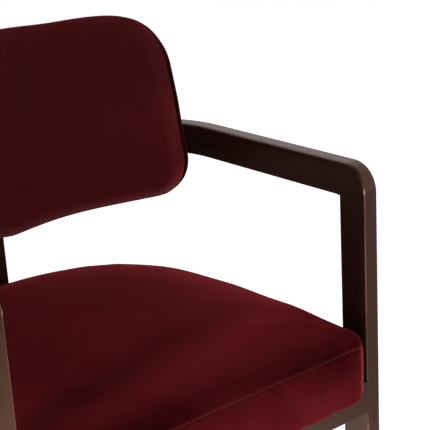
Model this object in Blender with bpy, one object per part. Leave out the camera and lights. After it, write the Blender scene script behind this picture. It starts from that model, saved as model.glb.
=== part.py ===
"""Restaurant armchair: a dark-stained wooden frame with a velvet seat and a velvet back pad.

Metres, +Z up. The chair faces -Y, and the sitter's left is at +X. Shapes are drawn with Y = 0 at the front
face of the front legs. The parent empty then puts the middle of the chair over the origin, on the floor.
"""

import math

import bmesh
import bpy
from mathutils import Vector

# Frame
WIDTH = 0.560  # over the arms
ARM_TOP = 0.665  # above the floor
ARM_HEIGHT = 0.045
BOARD = 0.0225  # thickness of every board
LEG_DEPTH = 0.045  # front to back
HOUSING = 0.0085  # how deep the front leg is let into the arm
STRAIGHT_RUN = 0.316  # from the legs' front face to where the arms begin to bend
BOW_DEPTH = 0.220  # how far the bend reaches behind the straight run
ARM_JOINT_TURN = 40.0  # degrees round the bend, where the arm meets the back rail
RAIL_TOP = 0.3705  # above the floor
RAIL_HEIGHT = 0.0465
REAR_LEG_TURN = 56.0  # degrees round the bend
REAR_HOUSING = 0.0015  # how deep the rear leg's shoulder reaches under the rear rail
POST_WIDTH = 0.041
BLOCK_REACH = 0.060  # corner block along a rail
BLOCK_HEIGHT = 0.032
BLOCK_DEPTH = 0.028  # rear corner block, inward from the rail
EASE = 0.0015  # chamfer on the boards' edges
FIT = 0.0003  # gap between pieces that touch

# Fixings
GLIDE_DIAMETER = 0.018
GLIDE_HEIGHT = 0.004
NAIL_DIAMETER = 0.0025
NAIL_LENGTH = 0.016
DOWEL_DIAMETER = 0.008
DOWEL_LENGTH = 0.030
DOWEL_PITCH = 0.017  # between the two dowels of a joint
BOLT_DIAMETER = 0.006
BOLT_HEAD_DIAMETER = 0.012
BOLT_HEAD_HEIGHT = 0.0045
BOLT_COVER = 0.006  # wood left beyond a bolt's end
BOLT_PITCH = 0.022  # between the two bolts of a joint
SCREW_DIAMETER = 0.0045
SCREW_HEAD_DIAMETER = 0.009
SCREW_HEAD_HEIGHT = 0.003

# Seat
SEAT_OVERHANG = 0.013  # in front of the legs
SEAT_SIDE_GAP = 0.007  # to the legs
SEAT_REAR_GAP = 0.010  # to the back post
SEAT_CORNER = 0.022  # front corners, in plan
SEAT_CURVE_LEAD = 0.038  # the seat begins to bend this far in front of the arms' bend
SEAT_BOXING = 0.058  # from the rails up to the seam
SEAT_CROWN = 0.038  # from the seam up to the middle of the top
SEAT_SHOULDER = 0.023  # part of the crown that is in the rounded rim
SEAT_RIM = 0.020  # width of that rim
SEAT_LIP = 0.016  # how far the front edge hangs below the rail's top
SEAT_LIP_START = 0.005  # in front of the legs, where that edge begins to hang
SEAT_LIP_RUN = 0.007  # from there to its full depth
SEAT_RETURN = 0.010  # cover folded under the board
HEM_ROUND = 0.004  # height of the cover's rounded lower edge
DRAW_IN = 0.002  # how far a seam is drawn in from the middle of the band
SEAT_BOARD = 0.012
BOARD_HOLD = 0.003  # board left above a screw's end
COVER = 0.002  # velvet and lining
DUST_CLOTH = 0.001
LAYER_GAP = 0.0007  # between the soft layers

# Back pad, drawn on a cylinder that leans back
PAD_SIDE_GAP = 0.0245  # from the arms' inner faces to the pad's side edges
PAD_WRAP = 60.7  # degrees that the pad wraps round to each side
PAD_TILT = 14.0  # degrees of lean
PAD_SETBACK = 0.0342  # from the back rail to the pad's front edge, at the arms' top
PAD_RISE = 0.2115  # top edge, up the pad from the cylinder's centre
PAD_DROP = 0.0525  # bottom edge, down the pad from there
PAD_BOW = 0.0105  # how far the top and bottom edges swell in the middle
PAD_TOP_CORNER = 0.087
PAD_BOTTOM_CORNER = 0.048
PAD_CROWN = 0.018  # how far the front swells
PAD_SHOULDER = 0.012  # part of that swelling in the rim
PAD_RIM = 0.022  # width of that rim
PAD_EDGE = 0.012  # width of the band round the edge
PAD_TAPER = 0.014  # width of the rear slope inside the band
PAD_BACK = 0.020  # from the front seam to the rear face
SHELL = 0.009  # bent plywood
SHELL_HOLD = 0.002  # plywood left beyond a bolt's end
BACK_BLOCK_WIDTH = 0.050
BACK_BLOCK_MARGIN = 0.005  # from the back rail's edges
BACK_BOLT_SPREAD = 30.0  # degrees round the bend between the back bolts

# Fineness
NOSE_STEPS = 8
BEND_STEP = 4.0  # degrees round the bend
ROUND_SIDES = 12
CORNER_STEPS = 4
EDGE_STEPS = 12
RIM_STEPS = 3
FACE_SHARES = (0.75, 0.5, 0.25, 0.0)  # rings of a face, from its rim to its middle

# Worked out from the sizes above
HALF = WIDTH / 2
REAR = STRAIGHT_RUN + BOW_DEPTH
REAR_INNER = REAR - BOARD
ARM_BOTTOM = ARM_TOP - ARM_HEIGHT
NOSE_RADIUS = ARM_HEIGHT - HOUSING
LEG_TOP = ARM_BOTTOM + HOUSING
LEG_FOOT = GLIDE_HEIGHT + FIT
RAIL_BOTTOM = RAIL_TOP - RAIL_HEIGHT
RAIL_MIDDLE = RAIL_TOP - RAIL_HEIGHT / 2
RING_OUTER = BOARD + FIT
RING_INNER = RING_OUTER + BOARD
SOFT = COVER + LAYER_GAP
SEAT_BASE = RAIL_TOP + FIT
BOARD_BASE = SEAT_BASE + COVER + FIT
SEAM_HEIGHT = RAIL_TOP + SEAT_BOXING
SEAT_HALF = HALF - BOARD - SEAT_SIDE_GAP
SEAT_BEND = STRAIGHT_RUN - SEAT_CURVE_LEAD
SEAT_BEND_DEPTH = REAR_INNER - SEAT_REAR_GAP - SEAT_BEND
PAD_SIDE = HALF - BOARD - PAD_SIDE_GAP
PAD_RADIUS = PAD_SIDE / math.sin(math.radians(PAD_WRAP))
PAD_HALF = PAD_RADIUS * math.radians(PAD_WRAP)
LEAN = math.radians(PAD_TILT)
PAD_UP = Vector((0, math.sin(LEAN), math.cos(LEAN)))
PAD_BACKWARD = Vector((0, math.cos(LEAN), -math.sin(LEAN)))
PAD_CENTRE = Vector((0, REAR_INNER - PAD_SETBACK - PAD_RADIUS / math.cos(LEAN), ARM_TOP))
SHELL_FRONT = PAD_BACK - COVER - LAYER_GAP - SHELL
SHELL_INSET = PAD_TAPER + 2 * COVER
MIDDLE_Y = (REAR - SEAT_OVERHANG) / 2

SIDES = {"left": 1, "right": -1}


def clear_scene():
    for old in list(bpy.data.objects):
        bpy.data.objects.remove(old)


def material(name, colour, roughness, metallic=0.0):
    made = bpy.data.materials.new(name)
    made.use_nodes = True
    shader = made.node_tree.nodes["Principled BSDF"]
    shader.inputs["Base Color"].default_value = (*colour, 1)
    shader.inputs["Roughness"].default_value = roughness
    shader.inputs["Metallic"].default_value = metallic
    return made


clear_scene()
CHAIR = bpy.data.objects.new("chair", None)
CHAIR.location = (0, -MIDDLE_Y, 0)
bpy.context.scene.collection.objects.link(CHAIR)

STAINED_WOOD = material("stained_wood", (0.045, 0.026, 0.019), 0.35)
BARE_WOOD = material("bare_wood", (0.52, 0.36, 0.22), 0.6)
PLYWOOD = material("plywood", (0.50, 0.35, 0.20), 0.6)
VELVET = material("velvet", (0.085, 0.006, 0.010), 0.8)
FOAM = material("foam", (0.80, 0.72, 0.52), 0.9)
BLACK_CLOTH = material("black_cloth", (0.012, 0.012, 0.013), 0.9)
STEEL = material("steel", (0.45, 0.45, 0.46), 0.35, 1.0)
NYLON = material("nylon", (0.02, 0.018, 0.016), 0.5)


def loft(name, rings, look, open_start=False, curved=False):
    """One object skinned over rings of points. A ring of one point closes that end to a tip.

    Curved layers are split along the same diagonals, so that those that lie on each other stay parallel.
    """
    shape = bmesh.new()
    loops = [[shape.verts.new(point) for point in ring] for ring in rings]
    for low, high in zip(loops, loops[1:]):
        count = max(len(low), len(high))
        for i in range(count):
            j = (i + 1) % count
            corners = (low[i % len(low)], low[j % len(low)], high[j % len(high)], high[i % len(high)])
            shape.faces.new(list(dict.fromkeys(corners)))
    if len(loops[0]) > 1 and not open_start:
        shape.faces.new(loops[0][::-1])
    if len(loops[-1]) > 1:
        shape.faces.new(loops[-1])
    if curved:
        bmesh.ops.triangulate(shape, faces=shape.faces, quad_method="FIXED")
    bmesh.ops.recalc_face_normals(shape, faces=shape.faces)
    return as_object(name, shape, look)


def as_object(name, shape, look):
    mesh = bpy.data.meshes.new(name)
    shape.to_mesh(mesh)
    shape.free()
    mesh.materials.append(look)
    made = bpy.data.objects.new(name, mesh)
    made.parent = CHAIR
    bpy.context.scene.collection.objects.link(made)
    return made


def ease(board):
    """Chamfers the board's edges."""
    chamfer = board.modifiers.new("eased_edges", "BEVEL")
    chamfer.width = EASE
    chamfer.segments = 1
    chamfer.limit_method = "ANGLE"
    chamfer.angle_limit = math.radians(50)
    return board


def cut(piece, cutter):
    cutter.hide_render = True
    cutter.display_type = "WIRE"
    hole = piece.modifiers.new(cutter.name, "BOOLEAN")
    hole.operation = "DIFFERENCE"
    hole.solver = "EXACT"
    hole.object = cutter


def thicken(skin):
    """Turns an open skin into cloth of the cover's thickness, on its inner side."""
    cloth = skin.modifiers.new("cloth", "SOLIDIFY")
    cloth.thickness = COVER
    cloth.offset = -1
    cloth.use_even_offset = True
    return skin


def box(name, low, high, look):
    (x0, y0, z0), (x1, y1, z1) = low, high
    plan = ((x0, y0), (x1, y0), (x1, y1), (x0, y1))
    return loft(name, [[(x, y, z) for x, y in plan] for z in (z0, z1)], look)


def circle(radius, height):
    turns = [2 * math.pi * i / ROUND_SIDES for i in range(ROUND_SIDES)]
    return [(radius * math.cos(a), radius * math.sin(a), height) for a in turns]


# The plan of the frame: straight at both sides, half an ellipse behind
def on_run(y):
    """A place on the straight run, as a function of the inset from the frame's outer face."""
    return lambda inset: Vector((HALF - inset, y))


def bend_normal(turn):
    angle = math.radians(turn)
    return Vector((BOW_DEPTH * math.cos(angle), HALF * math.sin(angle))).normalized()


def on_bend(turn):
    """A place round the bend, from 0 degrees at the left arm to 180 at the right one."""
    angle = math.radians(turn)
    outer = Vector((HALF * math.cos(angle), STRAIGHT_RUN + BOW_DEPTH * math.sin(angle)))
    return lambda inset: outer - inset * bend_normal(turn)


def turn_of(length, turn):
    """Degrees round the bend that cover this length there."""
    angle = math.radians(turn)
    speed = math.hypot(HALF * math.sin(angle), BOW_DEPTH * math.cos(angle))
    return math.degrees(length / speed)


def bend_places(first, last):
    steps = max(1, round(abs(last - first) / BEND_STEP))
    return [on_bend(first + (last - first) * i / steps) for i in range(steps + 1)]


def plan_board(name, places, insets, heights, look, side=1):
    """A board that follows the plan, upright between two heights and two insets."""
    outer, inner = insets
    low, high = heights
    corners = ((inner, low), (inner, high), (outer, high), (outer, low))
    rings = []
    for place in places:
        spots = [(place(inset), height) for inset, height in corners]
        rings.append([(side * spot.x, spot.y, height) for spot, height in spots])
    return loft(name, rings, look)


# Fixings, which cut their own bores in the pieces that they pass through
def turned(name, profile, at, along, look):
    made = loft(name, [circle(radius, height) for radius, height in profile], look)
    made.location = at
    made.rotation_euler = Vector(along).to_track_quat("Z", "Y").to_euler()
    return made


def dowel(name, at, along, hosts):
    radius = DOWEL_DIAMETER / 2
    reach = DOWEL_LENGTH / 2
    turned(name, [(radius, -reach), (radius, reach)], at, along, BARE_WOOD)
    bore = [(radius + FIT, -reach - FIT), (radius + FIT, reach + FIT)]
    bored = turned(name + "_bore", bore, at, along, BARE_WOOD)
    for host in hosts:
        cut(host, bored)


def headed(name, at, along, sizes, length, hosts):
    """A bolt or a screw whose head is let in flush at the given place, and its bore."""
    diameter, head_diameter, head = sizes
    shank = diameter / 2
    rim = head_diameter / 2
    turned(name, [(rim, 0), (rim, head), (shank, head), (shank, length)], at, along, STEEL)
    wide = rim + FIT
    narrow = shank + FIT
    bore = [(wide, -head), (wide, head + FIT), (narrow, head + FIT), (narrow, length + FIT)]
    bored = turned(name + "_bore", bore, at, along, STEEL)
    for host in hosts:
        cut(host, bored)


BOLT = (BOLT_DIAMETER, BOLT_HEAD_DIAMETER, BOLT_HEAD_HEIGHT)
SCREW = (SCREW_DIAMETER, SCREW_HEAD_DIAMETER, SCREW_HEAD_HEIGHT)
FRAME_BOLT = 2 * BOARD + FIT - BOLT_COVER


def glide(name, spot, leg):
    disc = GLIDE_DIAMETER / 2
    nail = NAIL_DIAMETER / 2
    tip = GLIDE_HEIGHT + NAIL_LENGTH
    at = (spot.x, spot.y, 0)
    turned(name, [(disc, 0), (disc, GLIDE_HEIGHT), (nail, GLIDE_HEIGHT), (nail, tip)], at, (0, 0, 1), NYLON)
    bore = [(nail + FIT, GLIDE_HEIGHT - FIT), (nail + FIT, tip + FIT)]
    cut(leg, turned(name + "_bore", bore, at, (0, 0, 1), NYLON))


def front_leg(side, name):
    low = (side * (HALF - BOARD), 0, LEG_FOOT)
    high = (side * HALF, LEG_DEPTH, LEG_TOP - FIT)
    leg = ease(box("front_leg_" + name, low, high, STAINED_WOOD))
    glide("front_glide_" + name, Vector((side * (HALF - BOARD / 2), LEG_DEPTH / 2)), leg)
    return leg


def rear_leg(side, name):
    """An upright board across the bend, housed against the rear rail's curved outer face."""
    normal = bend_normal(REAR_LEG_TURN)
    across = Vector((-normal.y, normal.x)) * LEG_DEPTH / 2
    outer = on_bend(REAR_LEG_TURN)(0)
    inner = on_bend(REAR_LEG_TURN)(BOARD + REAR_HOUSING)
    plan = (outer - across, outer + across, inner + across, inner - across)
    rings = [[(side * p.x, p.y, z) for p in plan] for z in (LEG_FOOT, RAIL_TOP)]
    leg = ease(loft("rear_leg_" + name, rings, STAINED_WOOD))
    spread = turn_of(LEG_DEPTH, REAR_LEG_TURN)
    places = bend_places(REAR_LEG_TURN - spread, REAR_LEG_TURN + spread)
    heights = (RAIL_BOTTOM - FIT, RAIL_TOP + RAIL_HEIGHT)
    insets = (BOARD, RING_INNER + BOARD)
    cut(leg, plan_board("rear_leg_scoop_" + name, places, insets, heights, STAINED_WOOD, side))
    glide("rear_glide_" + name, (outer + inner) / 2 * Vector((side, 1)), leg)
    return leg


def arm(side, name):
    """The arm: rounded at the front, straight, then into the bend. It sits over the leg in a housing."""
    end = ARM_JOINT_TURN - turn_of(FIT / 2, ARM_JOINT_TURN)
    places = [on_run(0)] + bend_places(0, end)
    board = plan_board("arm_" + name, places, (0, BOARD), (ARM_BOTTOM, ARM_TOP), STAINED_WOOD, side)
    shape = bmesh.new()
    shape.from_mesh(board.data)
    is_nose = lambda edge: all(v.co.y == 0 and v.co.z > LEG_TOP for v in edge.verts)
    nose = [edge for edge in shape.edges if is_nose(edge)]
    bmesh.ops.bevel(
        shape, geom=nose, offset=NOSE_RADIUS, segments=NOSE_STEPS, profile=0.5, affect="EDGES"
    )
    shape.to_mesh(board.data)
    shape.free()
    low = (side * (HALF - 2 * BOARD), -BOARD, ARM_BOTTOM - HOUSING)
    high = (side * (HALF + BOARD), LEG_DEPTH + FIT, LEG_TOP)
    cut(board, box("arm_housing_" + name, low, high, STAINED_WOOD))
    return ease(board)


def rails():
    """The seat frame inside the legs: a front rail, two side rails and a curved rear rail."""
    heights = (RAIL_BOTTOM, RAIL_TOP)
    reach = HALF - BOARD - FIT
    front = ease(box("front_rail", (-reach, 0, RAIL_BOTTOM), (reach, BOARD, RAIL_TOP), STAINED_WOOD))
    made = {"front": front}
    run = [on_run(BOARD + FIT), on_run(STRAIGHT_RUN - FIT)]
    insets = (RING_OUTER, RING_INNER)
    for name, side in SIDES.items():
        made[name] = ease(plan_board("side_rail_" + name, run, insets, heights, STAINED_WOOD, side))
    bend = bend_places(0, 180)
    made["rear"] = ease(plan_board("rear_rail", bend, insets, heights, STAINED_WOOD))
    return made


def back_rail():
    first = ARM_JOINT_TURN + turn_of(FIT / 2, ARM_JOINT_TURN)
    places = bend_places(first, 180 - first)
    return ease(plan_board("back_rail", places, (0, BOARD), (ARM_BOTTOM, ARM_TOP), STAINED_WOOD))


def back_post():
    low = (-POST_WIDTH / 2, REAR_INNER, RAIL_BOTTOM)
    high = (POST_WIDTH / 2, REAR, ARM_BOTTOM - FIT)
    return ease(box("back_post", low, high, STAINED_WOOD))


def corner_blocks():
    """Blocks inside the seat frame's corners, with the place of each one's seat screw."""
    heights = (RAIL_TOP - BLOCK_HEIGHT, RAIL_TOP)
    corner = Vector((HALF - RING_INNER - FIT, BOARD + FIT))
    insets = (RING_INNER + FIT, RING_INNER + FIT + BLOCK_DEPTH)
    reach = BLOCK_REACH / 2
    places = [on_run(STRAIGHT_RUN - reach)] + bend_places(0, turn_of(reach, 0))
    middle = on_run(STRAIGHT_RUN)((insets[0] + insets[1]) / 2)
    made = []
    for name, side in SIDES.items():
        plan = (corner, corner + Vector((0, BLOCK_REACH)), corner - Vector((BLOCK_REACH, 0)))
        rings = [[(side * p.x, p.y, z) for p in plan] for z in heights]
        spot = sum(plan, Vector((0, 0))) / len(plan)
        block = loft("front_block_" + name, rings, BARE_WOOD)
        made.append(("front_" + name, block, Vector((side * spot.x, spot.y))))
        block = plan_board("rear_block_" + name, places, insets, heights, BARE_WOOD, side)
        made.append(("rear_" + name, block, Vector((side * middle.x, middle.y))))
    return made


def frame():
    rail = rails()
    bow = back_rail()
    post = back_post()
    half_pitch = DOWEL_PITCH / 2
    bolt_heights = {"lower": RAIL_MIDDLE - BOLT_PITCH / 2, "upper": RAIL_MIDDLE + BOLT_PITCH / 2}
    rail_dowels = {"lower": RAIL_MIDDLE - half_pitch, "upper": RAIL_MIDDLE + half_pitch}
    arm_middle = ARM_TOP - ARM_HEIGHT / 2
    bow_dowels = {"lower": arm_middle - half_pitch, "upper": arm_middle + half_pitch}
    joint = on_bend(ARM_JOINT_TURN)(BOARD / 2)
    joint_normal = bend_normal(ARM_JOINT_TURN)
    leg_inner = on_bend(REAR_LEG_TURN)(RING_INNER)
    leg_normal = bend_normal(REAR_LEG_TURN)
    for name, side in SIDES.items():
        front = front_leg(side, name)
        rear = rear_leg(side, name)
        rest = arm(side, name)
        x = side * (HALF - BOARD / 2)
        for place, y in (("front", LEG_DEPTH / 2 - half_pitch), ("rear", LEG_DEPTH / 2 + half_pitch)):
            dowel(f"arm_dowel_{name}_{place}", (x, y, LEG_TOP), (0, 0, 1), (front, rest))
        for place, z in bow_dowels.items():
            along = (-side * joint_normal.y, joint_normal.x, 0)
            dowel(f"bow_dowel_{name}_{place}", (side * joint.x, joint.y, z), along, (rest, bow))
        for place, z in rail_dowels.items():
            at = (side * (HALF - BOARD), BOARD / 2, z)
            dowel(f"rail_dowel_{name}_{place}", at, (side, 0, 0), (front, rail["front"]))
        at = (side * (HALF - RING_INNER), (BOARD + FIT + LEG_DEPTH) / 2, RAIL_MIDDLE)
        headed("front_leg_bolt_" + name, at, (side, 0, 0), BOLT, FRAME_BOLT, (rail[name], front))
        for place, z in bolt_heights.items():
            at = (side * leg_inner.x, leg_inner.y, z)
            along = (side * leg_normal.x, leg_normal.y, 0)
            headed(f"rear_leg_bolt_{name}_{place}", at, along, BOLT, FRAME_BOLT, (rail["rear"], rear))
        at = (side * POST_WIDTH / 4, REAR - BOARD / 2, ARM_BOTTOM)
        dowel("post_dowel_" + name, at, (0, 0, 1), (post, bow))
    for place, z in bolt_heights.items():
        at = (0, REAR - RING_INNER, z)
        headed("post_bolt_" + place, at, (0, 1, 0), BOLT, FRAME_BOLT, (rail["rear"], post))
    return bow


# Seat
def spaced(first, last, steps):
    """Points between two others, without the ends."""
    return [first + (last - first) * i / steps for i in range(1, steps)]


def arc(centre, radius, first, last):
    angles = [first + (last - first) * i / CORNER_STEPS for i in range(CORNER_STEPS + 1)]
    return [centre + radius * Vector((math.cos(a), math.sin(a))) for a in angles]


def seat_outline(inset):
    """The seat from above, anticlockwise from where its left side begins to bend."""
    bend = []
    steps = 2 * EDGE_STEPS
    for i in range(steps + 1):
        angle = math.pi * i / steps
        spot = Vector((SEAT_HALF * math.cos(angle), SEAT_BEND + SEAT_BEND_DEPTH * math.sin(angle)))
        normal = Vector((SEAT_BEND_DEPTH * math.cos(angle), SEAT_HALF * math.sin(angle))).normalized()
        bend.append(spot - inset * normal)
    radius = max(SEAT_CORNER - inset, SEAT_CORNER / 10)
    centre = Vector((SEAT_HALF - SEAT_CORNER, SEAT_CORNER - SEAT_OVERHANG))
    mirrored = Vector((-centre.x, centre.y))
    right = arc(mirrored, radius, math.pi, 1.5 * math.pi)
    left = arc(centre, radius, 1.5 * math.pi, 2 * math.pi)
    side_steps = CORNER_STEPS
    down = spaced(bend[-1], right[0], side_steps)
    front = spaced(right[-1], left[0], EDGE_STEPS)
    up = spaced(left[-1], bend[0], side_steps)
    return bend + down + right + front + left + up


def seat_ring(inset, height):
    return [Vector((p.x, p.y, height)) for p in seat_outline(inset)]


def rim_curve():
    """Steps over a quarter round, as shares of its width and of its height."""
    widths = [i / RIM_STEPS for i in range(RIM_STEPS + 1)]
    return [(share, math.sqrt(1 - (1 - share) ** 2)) for share in widths]


def drawn_to(centre, ring, share):
    return [centre + (point - centre) * share for point in ring]


def seat_crown(inset, lower):
    """Rings from the seam over the rounded rim to the middle of the top."""
    rings = []
    for across, up in rim_curve():
        height = SEAM_HEIGHT + SEAT_SHOULDER * up - lower
        rings.append(seat_ring(DRAW_IN + inset + SEAT_RIM * across, height))
    middle = Vector((0, SEAT_BEND / 2, SEAM_HEIGHT + SEAT_SHOULDER - lower))
    rise = Vector((0, 0, SEAT_CROWN - SEAT_SHOULDER))
    for share in FACE_SHARES:
        ring = drawn_to(middle, rings[RIM_STEPS], share)
        rings.append([point + rise * (1 - share**2) for point in ring])
    rings[-1] = rings[-1][:1]
    return rings


def seat_hem(inset, lift):
    """A ring along the cover's bottom edge, which hangs lower in front of the front rail."""
    ring = seat_ring(inset, SEAT_BASE + lift)
    for point in ring:
        ahead = (-point.y - SEAT_LIP_START) / SEAT_LIP_RUN
        point.z -= SEAT_LIP * min(1.0, max(0.0, ahead))
    return ring


def seat(blocks):
    bulge = SEAT_BASE + SEAT_BOXING / 2
    skin = [seat_hem(SEAT_RETURN, 0), seat_hem(DRAW_IN, 0), seat_hem(DRAW_IN / 4, HEM_ROUND)]
    skin += [seat_ring(0, bulge)] + seat_crown(0, 0)
    thicken(loft("seat_cover", skin, VELVET, open_start=True, curved=True))
    top = BOARD_BASE + SEAT_BOARD
    inside = 2 * SOFT
    core = [seat_ring(inside, top + FIT), seat_ring(SOFT, bulge)] + seat_crown(SOFT, SOFT)
    loft("seat_foam", core, FOAM, curved=True)
    board = loft("seat_board", [seat_ring(inside, BOARD_BASE), seat_ring(inside, top)], PLYWOOD)
    under = BOARD_BASE - FIT
    cloth_rings = [seat_ring(SEAT_RETURN + COVER, z) for z in (under - DUST_CLOTH, under)]
    cloth = loft("dust_cloth", cloth_rings, BLACK_CLOTH)
    length = BLOCK_HEIGHT + top - RAIL_TOP - BOARD_HOLD
    for name, block, spot in blocks:
        at = (spot.x, spot.y, RAIL_TOP - BLOCK_HEIGHT)
        headed("seat_screw_" + name, at, (0, 0, 1), SCREW, length, (block, cloth, board))


# Back pad
def pad_point(along, up, depth):
    """A place on the pad: along its curve, up it, and behind its front edge."""
    angle = along / PAD_RADIUS
    out = Vector((math.sin(angle), 0, 0)) + PAD_BACKWARD * math.cos(angle)
    return PAD_CENTRE + out * (PAD_RADIUS + depth) + PAD_UP * up


def pad_depth(point):
    offset = point - PAD_CENTRE
    return math.hypot(offset.x, offset.dot(PAD_BACKWARD)) - PAD_RADIUS


def pad_rear_y(x, z):
    """Where the pad's rear face lies, straight behind a place on the chair's front."""
    radius = PAD_RADIUS + PAD_BACK
    across = math.sqrt(radius**2 - x**2) / math.cos(LEAN)
    return PAD_CENTRE.y + across + (z - ARM_TOP) * math.tan(LEAN)


def pad_outline(inset):
    """The pad laid flat, anticlockwise from the top of its right side."""
    side = PAD_HALF - inset
    top = PAD_RISE - inset
    bottom = inset - PAD_DROP
    high = PAD_TOP_CORNER - inset
    low = PAD_BOTTOM_CORNER - inset
    quarter = math.pi / 2
    corners = [
        arc(Vector((side - high, top - high)), high, 0, quarter),
        arc(Vector((high - side, top - high)), high, quarter, 2 * quarter),
        arc(Vector((low - side, bottom + low)), low, 2 * quarter, 3 * quarter),
        arc(Vector((side - low, bottom + low)), low, 3 * quarter, 4 * quarter),
    ]
    steps = (EDGE_STEPS, CORNER_STEPS, EDGE_STEPS, CORNER_STEPS)
    outline = []
    for i, corner in enumerate(corners):
        outline += corner + spaced(corner[-1], corners[(i + 1) % 4][0], steps[i])
    middle = (top + bottom) / 2
    half = (top - bottom) / 2
    swell = lambda p: PAD_BOW * (1 - (p.x / side) ** 2) * (p.y - middle) / half
    return [Vector((p.x, p.y + swell(p))) for p in outline]


def pad_ring(inset, depth, share=1.0):
    middle = Vector((0, (PAD_RISE - PAD_DROP) / 2))
    flat = [middle + (p - middle) * share for p in pad_outline(inset)]
    ring = [pad_point(p.x, p.y, depth) for p in flat]
    return ring if share else ring[:1]


def pad_front(inset, deeper):
    """Rings from the front seam over the rounded rim to the middle of the front."""
    rings = [pad_ring(inset + PAD_RIM * a, deeper - PAD_SHOULDER * b) for a, b in rim_curve()]
    for share in FACE_SHARES:
        swell = PAD_SHOULDER + (PAD_CROWN - PAD_SHOULDER) * (1 - share**2)
        rings.append(pad_ring(inset + PAD_RIM, deeper - swell, share))
    return rings


def pad_face(inset, depth):
    """Rings of a plain face, from its edge to its middle."""
    return [pad_ring(inset, depth)] + [pad_ring(inset, depth, share) for share in FACE_SHARES]


def back_pad():
    front = [pad_ring(DRAW_IN, -FIT)] + pad_front(DRAW_IN, -FIT - COVER)
    thicken(loft("back_cover_front", front, VELVET, open_start=True, curved=True))
    band = [pad_ring(DRAW_IN, 0), pad_ring(0, PAD_EDGE / 2), pad_ring(DRAW_IN, PAD_EDGE)]
    band += [pad_ring(PAD_TAPER, PAD_BACK)] + pad_face(SHELL_INSET, PAD_BACK)
    rear = thicken(loft("back_cover_rear", band, VELVET, open_start=True, curved=True))
    behind = SHELL_FRONT - LAYER_GAP
    core = pad_face(SHELL_INSET, behind)[::-1] + pad_front(DRAW_IN + SOFT, SOFT)
    loft("back_foam", core, FOAM, curved=True)
    faces = pad_face(SHELL_INSET, SHELL_FRONT)[::-1] + pad_face(SHELL_INSET, SHELL_FRONT + SHELL)
    return rear, loft("back_shell", faces, PLYWOOD, curved=True)


def back_block(name, x):
    """A shaped block that fills the space between the back rail and the leaning, curved pad."""
    heights = (ARM_BOTTOM + BACK_BLOCK_MARGIN, ARM_TOP - BACK_BLOCK_MARGIN)
    steps = 2 * CORNER_STEPS
    rings = []
    for i in range(steps + 1):
        here = x + BACK_BLOCK_WIDTH * (i / steps - 0.5)
        rear = rail_inner_y(here) - 2 * FIT
        fronts = [pad_rear_y(here, z) + FIT for z in heights]
        rings.append(
            [
                (here, fronts[0], heights[0]),
                (here, fronts[1], heights[1]),
                (here, rear, heights[1]),
                (here, rear, heights[0]),
            ]
        )
    return loft("back_block_" + name, rings, STAINED_WOOD)


def rail_inner_y(x):
    """Where the back rail's inner face lies at this distance from the middle."""
    low, high = 0.0, 90.0
    for _ in range(40):
        turn = (low + high) / 2
        if on_bend(turn)(BOARD).x > abs(x):
            low = turn
        else:
            high = turn
    return on_bend(low)(BOARD).y


def pad_reach(at, along):
    """Length from the place to just short of the plywood's front, along a line into the pad."""
    low, high = BOARD, PAD_RADIUS
    for _ in range(40):
        length = (low + high) / 2
        if pad_depth(at + along * length) > SHELL_FRONT + SHELL_HOLD:
            low = length
        else:
            high = length
    return low


def back(bow):
    cover, shell = back_pad()
    for name, turn in (
        ("left", 90 - BACK_BOLT_SPREAD),
        ("middle", 90),
        ("right", 90 + BACK_BOLT_SPREAD),
    ):
        outer = on_bend(turn)(0)
        normal = bend_normal(turn)
        block = back_block(name, on_bend(turn)(BOARD).x)
        at = Vector((outer.x, outer.y, ARM_TOP - ARM_HEIGHT / 2))
        along = Vector((-normal.x, -normal.y, 0))
        headed("back_bolt_" + name, at, along, BOLT, pad_reach(at, along), (bow, block, cover, shell))


bow_rail = frame()
seat(corner_blocks())
back(bow_rail)
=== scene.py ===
"""Looks of the restaurant armchair: stained boards, velvet seat and back pad, and the small fixings.

Metres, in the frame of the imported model: +Z up, the chair faces -Y, the sitter's left is at +X.
"""

import math

import bpy
import numpy as np
from mathutils import Matrix, Vector


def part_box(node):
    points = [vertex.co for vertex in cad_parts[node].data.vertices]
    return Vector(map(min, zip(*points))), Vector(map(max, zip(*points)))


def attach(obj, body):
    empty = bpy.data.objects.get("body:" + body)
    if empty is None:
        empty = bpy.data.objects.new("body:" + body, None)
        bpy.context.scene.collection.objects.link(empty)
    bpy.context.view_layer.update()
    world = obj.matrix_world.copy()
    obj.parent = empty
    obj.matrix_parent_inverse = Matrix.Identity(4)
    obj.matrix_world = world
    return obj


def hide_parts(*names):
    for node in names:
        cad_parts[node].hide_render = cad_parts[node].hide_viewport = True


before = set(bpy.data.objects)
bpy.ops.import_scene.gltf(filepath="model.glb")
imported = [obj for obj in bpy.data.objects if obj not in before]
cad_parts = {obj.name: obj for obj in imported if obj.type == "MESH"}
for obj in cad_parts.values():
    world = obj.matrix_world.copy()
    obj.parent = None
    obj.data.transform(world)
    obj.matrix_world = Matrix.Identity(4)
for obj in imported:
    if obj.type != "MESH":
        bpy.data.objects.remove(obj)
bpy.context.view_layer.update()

# Sizes of the solids that the pieces below stand for
FRONT = -0.2615  # front face of the front legs
HALF = 0.280  # from the middle to the arms' outer faces
ARM_TOP = 0.665
ARM_BOTTOM = 0.620
BOARD = 0.0225
LEG_DEPTH = 0.045
LEG_TOP = 0.6285  # inside the arm, where the leg ends
LEG_FOOT = 0.0043  # above the glide
NOSE = 0.0365  # radius of the arm's rounded front
STRAIGHT_RUN = 0.316
BOW_DEPTH = 0.220
FIT = 0.0003  # gap between boards that touch
ARM_JOINT_TURN = 40.0  # degrees round the bend
JOINT_GAP_TURN = 0.05
RAIL_TOP = 0.3705
RAIL_BOTTOM = 0.324
RING_OUTER = BOARD + FIT
RING_INNER = RING_OUTER + BOARD
REAR_LEG_TURN = 56.0
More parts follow.
